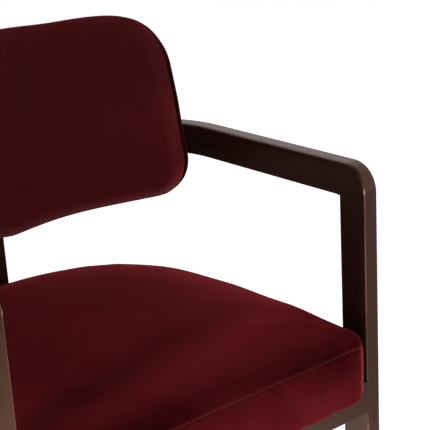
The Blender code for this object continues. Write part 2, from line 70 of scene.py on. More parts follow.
POST_WIDTH = 0.041
ARRIS = 0.0018  # radius of the boards' eased edges
ARM_ROUND = 0.006  # radius of the arm's inner top edge
HAIRLINE = 0.00025  # easing at a joint
SHARP = 0.00003  # radius of an edge that isn't eased

SEAT_OVERHANG = 0.013
SEAT_HALF = 0.2505
SEAT_CORNER = 0.022
SEAT_BEND = 0.278
SEAT_BEND_DEPTH = 0.2255
SEAT_BASE = RAIL_TOP + 0.0001
SEAM_HEIGHT = RAIL_TOP + 0.0608
SEAT_CROWN = 0.0356
SEAT_SHOULDER = 0.0211
SEAT_RIM = 0.020
SEAT_LIP = 0.016
SEAT_RETURN = 0.010
SEAT_REAR_TURN = 48  # degrees round the bend, where the outline's rear side starts
SEAM_INSET = 0.0021
SEAT_CROWN_REACH = 0.215  # from the shoulder to where the top is level
SEAT_LUMP_REACH = 0.09
SEAT_THREAD = 0.8  # how much of the seam's thread shows
VELVET_THICKNESS = 0.002
DUST_CLOTH_INSET = 0.0125
DUST_CLOTH_THICKNESS = 0.0008
DUST_CLOTH_LOW = RAIL_TOP + 0.0014
DUST_CLOTH_SAG = 0.0035

PAD_SIDE = 0.233  # from the middle to the pad's side edges
PAD_WRAP = math.radians(60.7)
PAD_RADIUS = PAD_SIDE / math.sin(PAD_WRAP)
PAD_HALF = PAD_RADIUS * PAD_WRAP  # half its length, laid flat
PAD_TILT = math.radians(14.0)
PAD_STANDOFF = 0.0342  # from the back rail's inner face
PAD_FACE = FRONT + STRAIGHT_RUN + BOW_DEPTH - BOARD - PAD_STANDOFF
PAD_CENTRE = np.array([0.0, PAD_FACE - PAD_RADIUS / math.cos(PAD_TILT), ARM_TOP])
PAD_RISE = 0.2105
PAD_DROP = 0.0518
PAD_BOW = 0.0105
PAD_TOP_CORNER = 0.0855
PAD_BOTTOM_CORNER = 0.0510
PAD_CROWN = 0.018
PAD_CROWN_REACH = 0.11
PAD_SHOULDER = 0.012
PAD_RIM = 0.022  # where the tuck at the pad's ends fades out
PAD_THREAD = 0.6
PAD_EDGE = 0.012
PAD_TAPER = 0.014
PAD_BACK = 0.020

SWELL_FRAMES = 20
SWELL_CAP = 0.0012  # about the most that the cloth simulation moves a point
SEAT_PRESSURE = 1.0
PAD_PRESSURE = 1.5

CAMERA_HEADING = math.radians(38.122)
CAMERA_DIP = math.radians(18.608)
CAMERA_ROLL = math.radians(-3.322)
CAMERA_PLACE = (-0.7676, -1.2631, 1.0933)
CAMERA_LENS = 100.0  # millimetres, and so is the sensor
CAMERA_SENSOR = 36.0


# Shader arithmetic
class Wire:
    """A shader socket. Arithmetic on it adds Math nodes, and node() adds any other node."""

    def __init__(self, tree, socket=None):
        self.tree = tree
        self.socket = socket

    def node(self, kind, settings=None, sockets=None, output=0):
        """Adds a node of this type, with its settings first and then the values or links of its sockets."""
        made = self.tree.nodes.new(kind)
        for key, value in (settings or {}).items():
            setattr(made, key, value)
        for key, value in (sockets or {}).items():
            if isinstance(value, Wire):
                self.tree.links.new(value.socket, made.inputs[key])
            else:
                made.inputs[key].default_value = value
        return Wire(self.tree, made.outputs[output] if made.outputs else None)

    def place(self):
        """Coordinates on the object, in metres."""
        return self.node("ShaderNodeTexCoord", output="Object")

    def mark(self, name, output="Fac"):
        """An attribute of the mesh's points."""
        return self.node("ShaderNodeAttribute", {"attribute_name": name}, output=output)

    def math(self, operation, first, second):
        return self.node("ShaderNodeMath", {"operation": operation}, {0: first, 1: second})

    def __add__(self, other):
        return self.math("ADD", self, other)

    def __radd__(self, other):
        return self.math("ADD", other, self)

    def __sub__(self, other):
        return self.math("SUBTRACT", self, other)

    def __rsub__(self, other):
        return self.math("SUBTRACT", other, self)

    def __mul__(self, other):
        return self.math("MULTIPLY", self, other)

    def __rmul__(self, other):
        return self.math("MULTIPLY", other, self)

    def noise(self, scale, detail=3.0, roughness=0.5):
        """Noise at this place, from 0 to 1. The scale is a number, or one number for each direction."""
        stretched = self.node("ShaderNodeMapping", {}, {"Vector": self, "Scale": scale})
        sockets = {"Vector": stretched, "Scale": 1.0, "Detail": detail, "Roughness": roughness}
        return self.node("ShaderNodeTexNoise", {}, sockets)

    def ramp(self, low, high):
        """0 below low, 1 above high, smooth between."""
        return self.node(
            "ShaderNodeMapRange",
            {"interpolation_type": "SMOOTHSTEP"},
            {"Value": self, "From Min": low, "From Max": high},
        )

    def blend(self, first, second):
        """The first colour where this is 0 and the second where it is 1."""
        return self.node("ShaderNodeMix", {"data_type": "RGBA"}, {0: self, 6: first, 7: second}, output=2)

    def bump(self, strength, distance):
        return self.node("ShaderNodeBump", {}, {"Height": self, "Strength": strength, "Distance": distance})


def finish(name, build):
    """A material from a build function, which takes a bare Wire and returns the shader's sockets."""
    made = bpy.data.materials.new(name)
    made.use_nodes = True
    tree = made.node_tree
    tree.nodes.clear()
    start = Wire(tree)
    shader = start.node("ShaderNodeBsdfPrincipled", {}, build(start))
    start.node("ShaderNodeOutputMaterial", {}, {"Surface": shader})
    return made


def rgb(red, green, blue):
    return (red, green, blue, 1.0)


def wood_sockets(place, dark, light, roughness):
    """Growth figure and pores drawn out along the board, which is the first direction of the place."""
    figure = place.noise((1.6, 46.0, 30.0), 5.0, 0.6)
    streak = place.noise((5.0, 260.0, 190.0), 3.0, 0.6)
    pores = place.noise((26.0, 900.0, 900.0), 2.0, 0.5).ramp(0.60, 0.72)
    tone = (figure * 0.65 + streak * 0.35).ramp(0.32, 0.70)
    colour = tone.blend(dark, light)
    height = streak * 0.4 - pores * 0.6
    return {
        "Base Color": pores.blend(colour, dark),
        "Roughness": roughness + (streak - 0.5) * 0.16 + pores * 0.12,
        "Normal": height.bump(0.12, 0.0004),
    }


STAIN_DARK = rgb(0.0085, 0.0040, 0.0036)
STAIN_LIGHT = rgb(0.031, 0.0120, 0.0082)
STAIN_GLOSS = rgb(1.0, 0.41, 0.215)
# Paler edge colour: wear, with a painted highlight on the boards' rounded edges
EDGE_WEAR_AND_GLINT = rgb(0.21, 0.120, 0.085)
# Pale painted highlight, on the nose's inner edge
EDGE_GLINT = rgb(0.46, 0.40, 0.32)
PILE_DARK = rgb(0.022, 0.0014, 0.0020)
PILE_PALE = rgb(0.230, 0.0172, 0.0240)
# Painted shade, nearly black
PILE_SHADE = rgb(0.004, 0.0004, 0.0006)
# Thread colour, also used for painted sheen
THREAD_AND_SHEEN = rgb(0.20, 0.064, 0.070)


def stained_board(start):
    """Dark stain under satin lacquer, paler along the edges as wear with a painted highlight, and a pale
    painted highlight where the edge is past 1.
    """
    place = start.mark("grain", "Vector")
    edge = start.mark("edge")
    sockets = wood_sockets(place, STAIN_DARK, STAIN_LIGHT, 0.32)
    # Paler edges: wear with a painted highlight, and past 1 a pale painted highlight
    rubbed_and_glint = edge * (0.35 + place.noise((9.0, 60.0, 60.0), 3.0, 0.6).ramp(0.30, 0.75) * 0.65)
    stained = rubbed_and_glint.blend(sockets["Base Color"], EDGE_WEAR_AND_GLINT)
    sockets["Base Color"] = edge.ramp(1.0, 2.2).blend(stained, EDGE_GLINT)
    sockets["Specular Tint"] = STAIN_GLOSS
    return sockets


def stained_block(start):
    place = start.place()
    return wood_sockets(place, STAIN_DARK, STAIN_LIGHT, 0.40)


def bare_wood(start):
    place = start.place()
    return wood_sockets(place, rgb(0.34, 0.21, 0.11), rgb(0.60, 0.42, 0.25), 0.62)


def plywood(start):
    place = start.place()
    return wood_sockets(place, rgb(0.36, 0.24, 0.13), rgb(0.58, 0.43, 0.27), 0.60)


def velvet(start):
    """Burgundy cut pile, ruffled by noise. The nap attribute sets it from dark at 0 to pale at 1, and paints
    light
    into it: painted sheen, painted light and painted shade, besides the nap.

    Below nothing the nap attribute paints shade, nearly black. The seam attribute marks the sewn lines, which
    show as a broken paler thread, and painted sheen, which shows in the same colour.
    """
    place = start.place()
    nap_and_light = start.mark("nap_and_light")
    seam = start.mark("seam")
    turned = start.node("ShaderNodeMapping", {}, {"Vector": place, "Rotation": (0.0, 0.35, 0.75)})
    sweep = turned.noise((6.0, 15.0, 9.0), 2.5, 0.5)
    cloud = place.noise((34.0, 34.0, 34.0), 3.0, 0.6)
    tuft = place.noise((900.0, 900.0, 900.0), 2.0, 0.6)
    stitch = place.noise((260.0, 260.0, 260.0), 2.0, 0.5)
    # The nap with painted light and shade, ruffled by noise
    pile_and_light = nap_and_light + (sweep - 0.5) * 0.26 + (cloud - 0.5) * 0.16 + (tuft - 0.5) * 0.14
    colour = pile_and_light.blend(PILE_DARK, PILE_PALE)
    # Below nothing: painted shade, nearly black
    colour = pile_and_light.ramp(0.0, -0.25).blend(colour, PILE_SHADE)
    # The sewn thread, and painted sheen, in the thread's colour
    colour = (seam * (0.28 + seam * stitch.ramp(0.40, 0.64) * 0.32)).blend(colour, THREAD_AND_SHEEN)
    height = tuft * 0.5 + cloud * 0.5
    return {
        "Base Color": colour,
        "Roughness": 0.88,
        "Specular IOR Level": 0.0,
        "Sheen Weight": 0.40,
        "Sheen Roughness": 0.31,
        "Sheen Tint": rgb(0.71, 0.125, 0.140),
        "Normal": height.bump(0.25, 0.0006),
    }


def black_cloth(start):
    place = start.place()
    fibres = place.noise((420.0, 420.0, 60.0), 3.0, 0.6)
    return {
        "Base Color": fibres.blend(rgb(0.008, 0.008, 0.009), rgb(0.022, 0.022, 0.024)),
        "Roughness": 0.92,
        "Specular IOR Level": 0.2,
        "Normal": fibres.bump(0.3, 0.0004),
    }


def steel(start):
    place = start.place()
    film = place.noise((160.0, 160.0, 160.0), 3.0, 0.6)
    return {
        "Base Color": film.blend(rgb(0.36, 0.36, 0.37), rgb(0.52, 0.52, 0.54)),
        "Metallic": 1.0,
        "Roughness": 0.28 + film * 0.18,
    }


def nylon(start):
    place = start.place()
    scuff = place.noise((300.0, 300.0, 80.0), 3.0, 0.6)
    return {
        "Base Color": scuff.ramp(0.5, 0.8).blend(rgb(0.018, 0.016, 0.014), rgb(0.045, 0.040, 0.036)),
        "Roughness": 0.42 + scuff * 0.2,
    }


BOARD_FINISH = finish("stained_board", stained_board)
BLOCK_FINISH = finish("stained_block", stained_block)
BARE_FINISH = finish("bare_wood", bare_wood)
PLY_FINISH = finish("plywood", plywood)
VELVET_FINISH = finish("velvet", velvet)
CLOTH_FINISH = finish("black_cloth", black_cloth)
STEEL_FINISH = finish("steel", steel)
NYLON_FINISH = finish("nylon", nylon)


# Meshes from arrays
def signed_volume(points, quads):
    """Volume of a closed skin of quads, below zero where it is inside out."""
    a, b, c, d = (points[quads[:, i]] for i in range(4))
    first = np.einsum("ij,ij->i", a, np.cross(b, c))
    second = np.einsum("ij,ij->i", a, np.cross(c, d))
    return (first.sum() + second.sum()) / 6


def sheet_area(points, quads):
    """Area of a sheet of quads as a vector along its mean normal.

    It is the sum of half the cross product of each quad's diagonals.
    """
    a, b, c, d = (points[quads[:, i]] for i in range(4))
    return np.cross(c - a, d - b).sum(0) / 2


def skin(name, points, quads, ends=(), normals=None, attributes=None, facing=None):
    """One smooth object from points, quads and end faces, turned so that its faces point outwards.

    An open sheet is turned so that most of it faces the given way.
    """
    faces = [tuple(face) for face in quads.tolist()] + [tuple(end) for end in ends]
    if facing is None:
        side = signed_volume(points, quads)
    else:
        side = sheet_area(points, quads) @ np.array(facing, float)
    if side < 0:
        faces = [face[::-1] for face in faces]
    mesh = bpy.data.meshes.new(name)
    mesh.from_pydata(points.tolist(), [], faces)
    mesh.polygons.foreach_set("use_smooth", np.ones(len(faces), bool))
    for key, values in (attributes or {}).items():
        kind, field = ("FLOAT_VECTOR", "vector") if values.ndim == 2 else ("FLOAT", "value")
        mesh.attributes.new(key, kind, "POINT").data.foreach_set(field, values.astype(np.float32).ravel())
    if normals is not None:
        mesh.normals_split_custom_set_from_vertices(normals.tolist())
    mesh.update()
    made = bpy.data.objects.new(name, mesh)
    bpy.context.scene.collection.objects.link(made)
    return made


def dress(piece, look, slot, *nodes):
    """Gives a piece its material, and lets it ride on the chair in place of its solids. The slot is not used.
    """
    piece.data.materials.append(look)
    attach(piece, "root")
    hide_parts(*nodes)


def tube_quads(stations, around):
    """Quads between the rings of a skin, as indices, ring after ring."""
    ring = np.arange(stations - 1)[:, None] * around
    here = np.arange(around)[None, :]
    after = (here + 1) % around
    corners = [ring + here, ring + after, ring + around + after, ring + around + here]
    return np.stack(corners, -1).reshape(-1, 4)


def length_along(points):
    """Length from the first point of a line to each of its points."""
    steps = np.linalg.norm(np.diff(points, axis=0), axis=1)
    return np.concatenate([[0.0], np.cumsum(steps)])


# Boards
CORNER_STEPS = 4
CORNER_ANGLES = np.radians(
    np.concatenate([np.linspace(start, start + 90, CORNER_STEPS + 1) for start in (-90, 0, 90, 180)])
)
CORNER_OF = np.repeat(np.arange(4), CORNER_STEPS + 1)
CORNER_A = np.array([1, 1, 0, 0])[CORNER_OF]
CORNER_B = np.array([0, 1, 1, 0])[CORNER_OF]


def eased_end(path, ease, last):
    """Stations that round a path's end over, by a quarter circle from the end face to the sides."""
    if last:
        path = {key: value[::-1] for key, value in path.items()}
    away = path["spine"][1] - path["spine"][0]
    away = away / np.linalg.norm(away)
    turn = np.radians(np.linspace(90, 0, 4))
    shrink = ease * (1 - np.cos(turn))
    extra = {key: np.repeat(value[:1], len(turn), 0) for key, value in path.items()}
    extra["spine"] = extra["spine"] + np.outer(ease * (1 - np.sin(turn)), away)
    extra["bounds"] = extra["bounds"] + np.outer(shrink, [1, -1, 1, -1])
    extra["radii"] = np.maximum(extra["radii"] - shrink[:, None], SHARP)
    extra["end"] = -np.outer(np.sin(turn), away)
    made = {key: np.concatenate([extra[key], path[key][1:]]) for key in path}
    if last:
        made = {key: value[::-1] for key, value in made.items()}
    return made


def board(name, path, eases, offset, mirrored=False):
    """A board swept along a path. Each station holds a rectangle with rounded corners across the path.

    A path's arrays are spine, inward and upward (points and directions), bounds (least and most inward,
    least and most upward), radii and edge wear with painted highlight (of the four corners), along (length so
    far) and end (how far a normal turns to the end). The grain attribute is the length along, the distance
    inward and the distance upward, moved by the offset. The edge attribute is the wear and painted highlight
    on the rounded corners.
    """
    for last in (False, True):
        if eases[last]:
            path = eased_end(path, eases[last], last)
    bounds = path["bounds"]
    radii = path["radii"][:, CORNER_OF]
    edge_a = np.where(CORNER_A, bounds[:, 1:2] - radii, bounds[:, 0:1] + radii)
    edge_b = np.where(CORNER_B, bounds[:, 3:4] - radii, bounds[:, 2:3] + radii)
    a = edge_a + radii * np.cos(CORNER_ANGLES)
    b = edge_b + radii * np.sin(CORNER_ANGLES)
    inward = path["inward"][:, None]
    upward = path["upward"][:, None]
    points = path["spine"][:, None] + a[..., None] * inward + b[..., None] * upward
    flat = np.sqrt(np.maximum(0, 1 - np.square(path["end"]).sum(1)))[:, None, None]
    across = np.cos(CORNER_ANGLES)[:, None] * inward + np.sin(CORNER_ANGLES)[:, None] * upward
    normals = flat * across + path["end"][:, None]
    along = np.broadcast_to(path["along"][:, None], a.shape)
    grain = np.stack([along, a, b], -1) + np.array(offset)
    stations, around = a.shape
    points = points.reshape(-1, 3)
    normals = normals.reshape(-1, 3)
    if mirrored:
        points = points * [-1, 1, 1]
        normals = normals * [-1, 1, 1]
    ends = [range(around)[::-1], range((stations - 1) * around, stations * around)]
    wear_and_glint = path["wear_and_glint"][:, CORNER_OF]
    edge = wear_and_glint * np.abs(np.sin(2 * CORNER_ANGLES)) * np.minimum(1, (ARRIS / radii) ** 2)
    attributes = {"grain": grain.reshape(-1, 3), "edge": edge.ravel()}
    return skin(name, points, tube_quads(stations, around), ends, normals, attributes)


def straight_path(spine, inward, upward, bounds, radii):
    """A path along straight stations, with directions that don't turn."""
    spine = np.array(spine, float)
    count = len(spine)
    return {
        "spine": spine,
        "inward": np.tile(np.array(inward, float), (count, 1)),
        "upward": np.tile(np.array(upward, float), (count, 1)),
        "bounds": np.broadcast_to(np.array(bounds, float), (count, 4)).copy(),
        "radii": np.broadcast_to(np.array(radii, float), (count, 4)).copy(),
        "wear_and_glint": np.ones((count, 4)),
        "along": length_along(spine),
        "end": np.zeros((count, 3)),
    }


def bend_path(turns, bounds, radii):
    """A path round the frame's bend: half an ellipse, its normals pointing inward."""
    turn = np.radians(turns)
    zero = np.zeros_like(turn)
    spine = np.stack([HALF * np.cos(turn), FRONT + STRAIGHT_RUN + BOW_DEPTH * np.sin(turn), zero], -1)
    inward = -np.stack([BOW_DEPTH * np.cos(turn), HALF * np.sin(turn), zero], -1)
    inward /= np.linalg.norm(inward, axis=1, keepdims=True)
    path = straight_path(spine, (0, 0, 0), (0, 0, 1), bounds, radii)
    path["inward"] = inward
    return path


def joined(*paths):
    """One path after another, with the length running on."""
    made = {key: np.concatenate([path[key] for path in paths]) for key in paths[0]}
    made["along"] = length_along(made["spine"])
    return made


def arm(name, mirrored, offset):
    """The arm: a fan of sections round the nose's centre, the straight run, then the bend to its joint."""
    turn = np.radians(np.linspace(0, 90, 19))
    pivot = np.array([HALF, FRONT + NOSE, LEG_TOP])
    nose = straight_path(np.tile(pivot, (len(turn), 1)), (-1, 0, 0), (0, 0, 1), (0, BOARD, 0, NOSE), ARRIS)
    nose["upward"] = np.stack([0 * turn, -np.cos(turn), np.sin(turn)], -1)
    nose["radii"][:, [0, 3]] = SHARP
    # Painted highlight, in a pale colour, on the inner edge where the nose starts to turn over
    nose["wear_and_glint"][:, 1] += 1.6 * hump(turn, 0.12, 0.12)
    over_leg = straight_path(
        [(HALF, FRONT + y, LEG_TOP) for y in (NOSE + 0.002, LEG_DEPTH + FIT)],
        (-1, 0, 0),
        (0, 0, 1),
        (0, BOARD, 0, NOSE),
        (SHARP, ARRIS, ARRIS, SHARP),
    )
    drop = ARM_BOTTOM - LEG_TOP
    run_places = [LEG_DEPTH + FIT, LEG_DEPTH + 0.004, 0.12, 0.20, STRAIGHT_RUN - 0.002]
    run = straight_path(
        [(HALF, FRONT + y, LEG_TOP) for y in run_places],
        (-1, 0, 0),
        (0, 0, 1),
        (0, BOARD, drop, NOSE),
        ARRIS,
    )
    run["radii"][0, [0, 3]] = SHARP
    run["radii"][:, 1] = ARM_ROUND
    over_leg["radii"][:, 1] = ARM_ROUND
    nose["radii"][:, 1] = ARRIS + (ARM_ROUND - ARRIS) * np.square(np.sin(turn))
    bend = bend_path(np.linspace(0, ARM_JOINT_TURN - JOINT_GAP_TURN, 29), (0, BOARD, drop, NOSE), ARRIS)
    bend["spine"][:, 2] = LEG_TOP
    bend["radii"][:, 1] = ARM_ROUND
    path = joined(nose, over_leg, run, bend)
    made = board(name, path, (0, HAIRLINE), offset, mirrored)
    # The nose is sawn from the same straight board, so its grain runs along Y and not round the fan
    count = (len(turn) + len(over_leg["along"])) * len(CORNER_OF)
    places = np.zeros(len(made.data.vertices) * 3, np.float32)
    made.data.vertices.foreach_get("co", places)
    places = places.reshape(-1, 3)[:count]
    grain = made.data.attributes["grain"].data
    values = np.zeros(len(made.data.vertices) * 3, np.float32)
    grain.foreach_get("vector", values)
    values = values.reshape(-1, 3)
    values[:count, 0] = places[:, 1] - (FRONT + NOSE) + offset[0]
    values[:count, 2] = places[:, 2] - LEG_TOP + offset[2]
    grain.foreach_set("vector", values.ravel())
    return made


def front_leg(name, mirrored, offset):
    """The front leg.

    Its inner front edge is sharp where the front rail meets it flush. Its wear and painted highlight are
    dimmed just under the rail, as painted shade, and beside the seat.
    """
    heights = [LEG_FOOT, RAIL_BOTTOM - 0.022, RAIL_BOTTOM - 0.010, RAIL_BOTTOM - 0.002, RAIL_BOTTOM]
    heights += [RAIL_TOP, RAIL_TOP + 0.002, RAIL_TOP + 0.07, RAIL_TOP + 0.15, LEG_TOP]
    path = straight_path(
        [(HALF, FRONT, z) for z in heights], (-1, 0, 0), (0, 1, 0), (0, BOARD, 0, LEG_DEPTH), ARRIS
    )
    path["radii"][4:6, 0] = SHARP
    # Painted highlight on the inner front edge, dimmed just under the rail where shade is painted, and beside
    # the seat
    path["wear_and_glint"][:, 0] = (1, 1, 0.1, 0.1, 0.1, 0.1, 0.1, 0.2, 0.8, 1)
    return board(name, path, (ARRIS * 0.8, 0), offset, mirrored)


def rear_leg(name, mirrored, offset):
    turn = math.radians(REAR_LEG_TURN)
    outer = np.array([HALF * math.cos(turn), FRONT + STRAIGHT_RUN + BOW_DEPTH * math.sin(turn)])
    normal = np.array([BOW_DEPTH * math.cos(turn), HALF * math.sin(turn)])
    normal /= np.linalg.norm(normal)
    heights = [LEG_FOOT, RAIL_BOTTOM - 0.0006, RAIL_BOTTOM - 0.0005, RAIL_TOP]
    path = straight_path(
        [(*outer, z) for z in heights],
        (-normal[0], -normal[1], 0),
        (-normal[1], normal[0], 0),
        (0, BOARD + 0.0015, -LEG_DEPTH / 2, LEG_DEPTH / 2),
        ARRIS,
    )
    path["bounds"][2:, 1] = BOARD
    path["radii"][1:, :2] = SHARP
    return board(name, path, (ARRIS * 0.8, ARRIS), offset, mirrored)


def stain(made, node):
    """Finishes a board, in place of its solid."""
    dress(made, BOARD_FINISH, "stained_wood", node)


def boards():
    """Every visible board of the frame."""
    heights = (RAIL_BOTTOM, RAIL_TOP)
    for side, mirrored, shift in (("left", False, 0.0), ("right", True, 3.7)):
        made = arm("arm_wood_" + side, mirrored, (0.3 + shift, 0.11, 0.52 + shift))
        stain(made, "arm_" + side)
        made = front_leg("front_leg_wood_" + side, mirrored, (1.9 + shift, 0.41, 0.13 + shift))
        stain(made, "front_leg_" + side)
        made = rear_leg("rear_leg_wood_" + side, mirrored, (5.1 + shift, 0.27, 0.71 + shift))
        stain(made, "rear_leg_" + side)
        run = straight_path(
            [(HALF, FRONT + y, 0) for y in (BOARD, STRAIGHT_RUN - FIT)],
            (-1, 0, 0),
            (0, 0, 1),
            (RING_OUTER, RING_INNER, *heights),
            ARRIS,
        )
        made = board("side_rail_wood_" + side, run, (0, HAIRLINE), (7.3 + shift, 0.9, 0.2), mirrored)
        stain(made, "side_rail_" + side)
    reach = HALF - BOARD
    rail = straight_path(
        [(-reach, FRONT, 0), (reach, FRONT, 0)], (0, 1, 0), (0, 0, 1), (0, BOARD, *heights), ARRIS
    )
    # Little wear and painted highlight on the front rail's edges
    rail["wear_and_glint"][:] = 0.1
    made = board("front_rail_wood", rail, (0, 0), (11.2, 0.4, 0.6))
    stain(made, "front_rail")
    bow_start = ARM_JOINT_TURN + JOINT_GAP_TURN
    bow = bend_path(np.linspace(bow_start, 180 - bow_start, 65), (0, BOARD, ARM_BOTTOM, ARM_TOP), ARRIS)
    bow["radii"][:, 1] = ARM_ROUND
    made = board("back_rail_wood", bow, (HAIRLINE, HAIRLINE), (13.4, 0.7, 0.1))
    stain(made, "back_rail")
    ring = bend_path(np.linspace(0, 180, 97), (RING_OUTER, RING_INNER, *heights), ARRIS)
    ring["radii"][:, 1] = SHARP
    made = board("rear_rail_wood", ring, (HAIRLINE, HAIRLINE), (15.8, 0.2, 0.8))
    stain(made, "rear_rail")
    rear = FRONT + STRAIGHT_RUN + BOW_DEPTH
    post = straight_path(
        [(0, rear, RAIL_BOTTOM), (0, rear, ARM_BOTTOM)],
        (0, -1, 0),
        (1, 0, 0),
        (0, BOARD, -POST_WIDTH / 2, POST_WIDTH / 2),
        ARRIS,
    )
    stain(board("back_post_wood", post, (ARRIS, 0), (18.6, 0.5, 0.3)), "back_post")


# Upholstery
def along_arc(centre, radii, first, last, count):
    angle = np.radians(np.linspace(first, last, count))
    return np.stack([centre[0] + radii[0] * np.cos(angle), centre[1] + radii[1] * np.sin(angle)], -1)


def evenly(line, segments):
    """Points at equal lengths along a line of points."""
    length = length_along(line)
    wanted = np.linspace(0, length[-1], segments + 1)
    return np.stack([np.interp(wanted, length, line[:, i]) for i in range(line.shape[1])], -1)


def loop_of(sides, counts):
    """A closed outline from four sides, as even points anticlockwise, with its outward normals."""
    points = np.concatenate([evenly(side, count)[:-1] for side, count in zip(sides, counts)])
    tangent = np.roll(points, -1, 0) - np.roll(points, 1, 0)
    normal = np.stack([tangent[:, 1], -tangent[:, 0]], -1)
    return points, normal / np.linalg.norm(normal, axis=1, keepdims=True)


def coons(loop, across, up):
    """Points inside a loop of four sides: the blend of its opposite sides less the blend of its corners."""
    front = loop[: across + 1]
    left = loop[across : across + up + 1]
    rear = loop[across + up : 2 * across + up + 1][::-1]
    right = np.concatenate([loop[2 * across + up :], loop[:1]])[::-1]
    u = np.linspace(0, 1, across + 1)[None, :, None]
    v = np.linspace(0, 1, up + 1)[:, None, None]
    ruled = (1 - v) * front[None] + v * rear[None] + (1 - u) * right[:, None] + u * left[:, None]
    corners = (1 - v) * ((1 - u) * front[0] + u * front[-1]) + v * ((1 - u) * rear[0] + u * rear[-1])
    return ruled - corners


def patch_index(first, start, across, up):
    """Indices of a patch whose border is a ring that starts at first, and whose inside starts at start."""
    grid = np.zeros((up + 1, across + 1), int)
    count = 2 * (across + up)
    grid[0] = first + np.arange(across + 1)
    grid[:, -1] = first + across + np.arange(up + 1)
    grid[-1] = first + across + up + np.arange(across + 1)[::-1]
    grid[:, 0] = first + (2 * across + up + np.arange(up + 1)[::-1]) % count
    grid[1:-1, 1:-1] = start + np.arange((across - 1) * (up - 1)).reshape(up - 1, across - 1)
    return grid


def grid_quads(grid):
    return np.stack([grid[:-1, :-1], grid[:-1, 1:], grid[1:, 1:], grid[1:, :-1]], -1).reshape(-1, 4)


def edge_distance(places, loop):
    """Distance of each place from a closed outline, to the nearest of its segments."""
    start = loop[None]
    step = (np.roll(loop, -1, 0) - loop)[None]
    offset = places[:, None] - start
    share = np.clip((offset * step).sum(-1) / (step * step).sum(-1), 0, 1)
    return np.linalg.norm(offset - share[..., None] * step, axis=-1).min(1)


def waver(length, scale, depth, phase):
    """A slow uneven wave along a seam, as the sum of three sines."""
    turn = length / scale
    sines = np.sin(turn + phase) + 0.6 * np.sin(2.3 * turn + 1.7) + 0.4 * np.sin(4.1 * turn + phase * 2)
    return depth * sines / 2


def swell(piece, held, pressure):
    """Blows the cover up over its stuffing with a cloth simulation.

    Held points stay, and none moves past the cap: each move is the cap times the tanh of its share of it.
    """
    count = len(piece.data.vertices)
    before = np.zeros(count * 3, np.float32)
    piece.data.vertices.foreach_get("co", before)
    group = piece.vertex_groups.new(name="held")
    group.add(np.flatnonzero(held).tolist(), 1.0, "REPLACE")
    cloth = piece.modifiers.new("stuffing", "CLOTH")
    cloth.settings.quality = 6
    cloth.settings.mass = 0.35
    cloth.settings.tension_stiffness = 12
    cloth.settings.compression_stiffness = 12
    cloth.settings.shear_stiffness = 4
    cloth.settings.bending_stiffness = 0.8
    cloth.settings.use_pressure = True
    cloth.settings.uniform_pressure_force = pressure
    cloth.settings.vertex_group_mass = "held"
    cloth.settings.effector_weights.gravity = 0
    cloth.point_cache.frame_start = 1
    cloth.point_cache.frame_end = SWELL_FRAMES
    for number in range(1, SWELL_FRAMES + 1):
        bpy.context.scene.frame_set(number)
    shaped = piece.evaluated_get(bpy.context.evaluated_depsgraph_get()).data
    after = np.zeros(count * 3, np.float32)
    shaped.vertices.foreach_get("co", after)
    bpy.context.scene.frame_set(1)
    piece.modifiers.remove(cloth)
    piece.vertex_groups.remove(group)
    moved = (after - before).reshape(-1, 3)
    length = np.linalg.norm(moved, axis=1, keepdims=True)
    moved *= SWELL_CAP * np.tanh(length / SWELL_CAP) / np.maximum(length, 1e-9)
    piece.data.vertices.foreach_set("co", before + moved.ravel())
    piece.data.update()


def upholster(piece, thickness):
    """Smooths the cover once and gives it the cloth's thickness, inwards."""
    finer = piece.modifiers.new("finer", "SUBSURF")
    finer.levels = 1
    finer.render_levels = 1
    cloth = piece.modifiers.new("cloth", "SOLIDIFY")
    cloth.thickness = thickness
    cloth.offset = -1


SEAT_ACROSS = 72
SEAT_UP = 66


def seat_loop():
    """The seat from above: straight front and sides, round front corners, half an ellipse behind."""
    x = SEAT_HALF - SEAT_CORNER
    y = FRONT + SEAT_CORNER - SEAT_OVERHANG
    corner = (SEAT_CORNER, SEAT_CORNER)
    bend = (0, FRONT + SEAT_BEND)
    radii = (SEAT_HALF, SEAT_BEND_DEPTH)
    first = SEAT_REAR_TURN
    last = 180 - SEAT_REAR_TURN
    front = [along_arc((-x, y), corner, 225, 270, 12), along_arc((x, y), corner, 270, 315, 12)]
    left = [along_arc((x, y), corner, 315, 360, 12), along_arc(bend, radii, 0, first, 60)]
    rear = [along_arc(bend, radii, first, last, 120)]
    right = [along_arc(bend, radii, last, 180, 60), along_arc((-x, y), corner, 180, 225, 12)]
    sides = [np.concatenate(parts) for parts in (front, left, rear, right)]
    return loop_of(sides, (SEAT_ACROSS, SEAT_UP, SEAT_ACROSS, SEAT_UP))


def smooth(value, low, high):
    """0 below low, 1 above high, smooth between."""
    share = np.clip((value - low) / (high - low), 0, 1)
    return share * share * (3 - 2 * share)


def fade(value, reach):
    """1 at nothing, falling to 0 at the reach as a square."""
    return np.square(1 - np.clip(value / reach, 0, 1))


def hump(value, middle, width):
    """A bell of height 1 round the middle."""
    return np.exp(-np.square((value - middle) / width))


